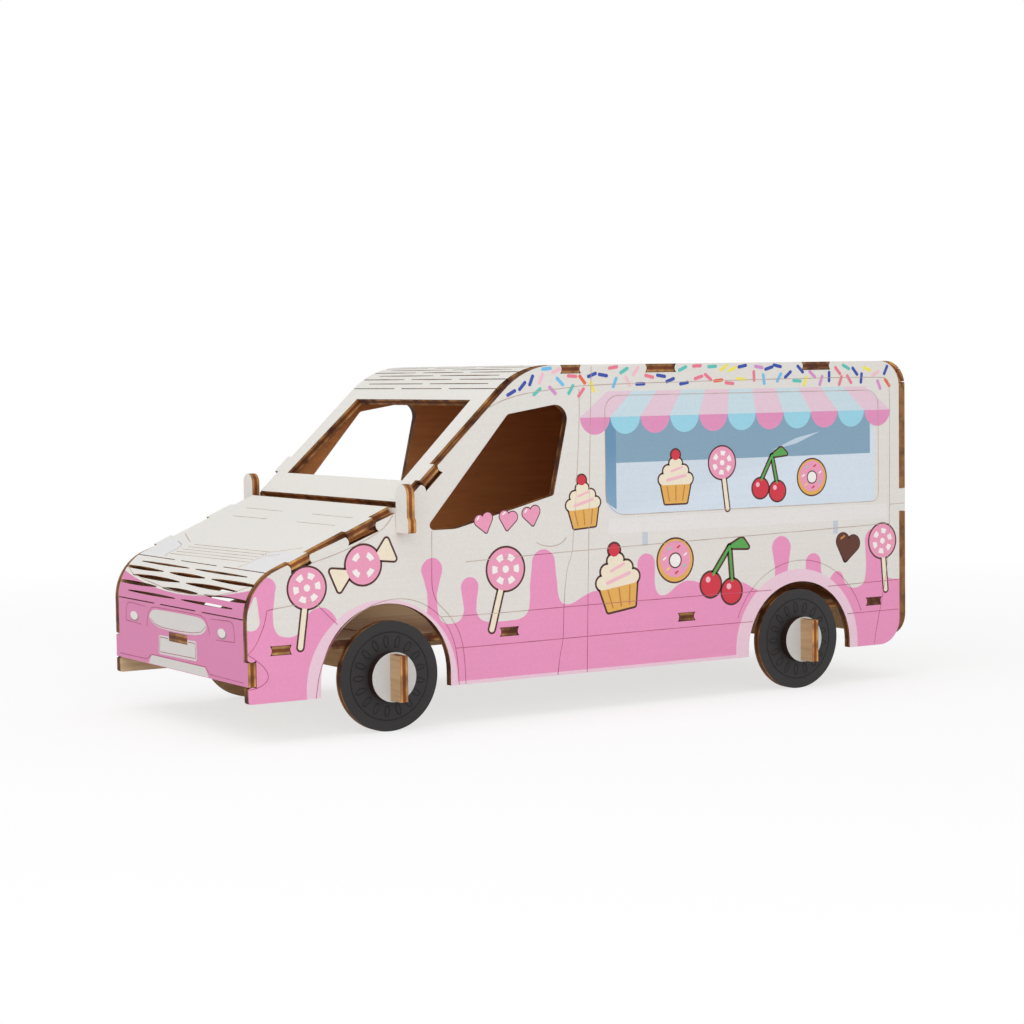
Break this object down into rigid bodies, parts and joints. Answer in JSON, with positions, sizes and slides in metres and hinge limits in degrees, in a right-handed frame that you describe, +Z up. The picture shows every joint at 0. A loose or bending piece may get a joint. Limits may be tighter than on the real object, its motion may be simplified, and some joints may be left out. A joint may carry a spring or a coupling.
{
  "type": "plywood toy van kit model",
  "caption": "High-roofed toy van slotted together from flat and bent plywood sheets, hollow inside, on ring wheels that turn on flat axle tongues.",
  "frame": {"origin": "on the ground, under the middle of the body's length and width", "axes": "+X towards the nose, +Y to the van's left side, +Z up"},
  "size_m": [0.247, 0.1136, 0.1075],
  "materials": {
    "printed_ply": "smooth white print on wood",
    "pink_ply": "smooth white and pink print on wood",
    "bare_ply": "bare sanded wood",
    "wheel_ply": "smooth black print on wood",
    "hub_ply": "smooth white print on wood"
  },
  "bodies": {
    "body": {"side_panel_left": "pink_ply", "side_panel_right": "pink_ply", "nose_sheet": "pink_ply", "roof_sheet": "printed_ply", "floor_sheet": "bare_ply", "mirror_sheet": "printed_ply", "axle_sheet_front": "bare_ply", "axle_sheet_rear": "bare_ply", "hub_disc_front_left": "hub_ply", "hub_disc_front_right": "hub_ply", "hub_disc_rear_left": "hub_ply", "hub_disc_rear_right": "hub_ply"},
    "wheel_front_left": {"wheel_front_left": "wheel_ply"},
    "wheel_front_right": {"wheel_front_right": "wheel_ply"},
    "wheel_rear_left": {"wheel_rear_left": "wheel_ply"},
    "wheel_rear_right": {"wheel_rear_right": "wheel_ply"}
  },
  "joints": [
    {"name": "wheel_front_left_spin", "type": "hinge", "parent": "body", "child": "wheel_front_left", "pos_m": [0.0775, 0.0467, 0.0164], "axis": [0, 1, 0], "continuous": true},
    {"name": "wheel_front_right_spin", "type": "hinge", "parent": "body", "child": "wheel_front_right", "pos_m": [0.0775, -0.0467, 0.0164], "axis": [0, 1, 0], "continuous": true},
    {"name": "wheel_rear_left_spin", "type": "hinge", "parent": "body", "child": "wheel_rear_left", "pos_m": [-0.0768, 0.0467, 0.0164], "axis": [0, 1, 0], "continuous": true},
    {"name": "wheel_rear_right_spin", "type": "hinge", "parent": "body", "child": "wheel_rear_right", "pos_m": [-0.0768, -0.0467, 0.0164], "axis": [0, 1, 0], "continuous": true}
  ]
}
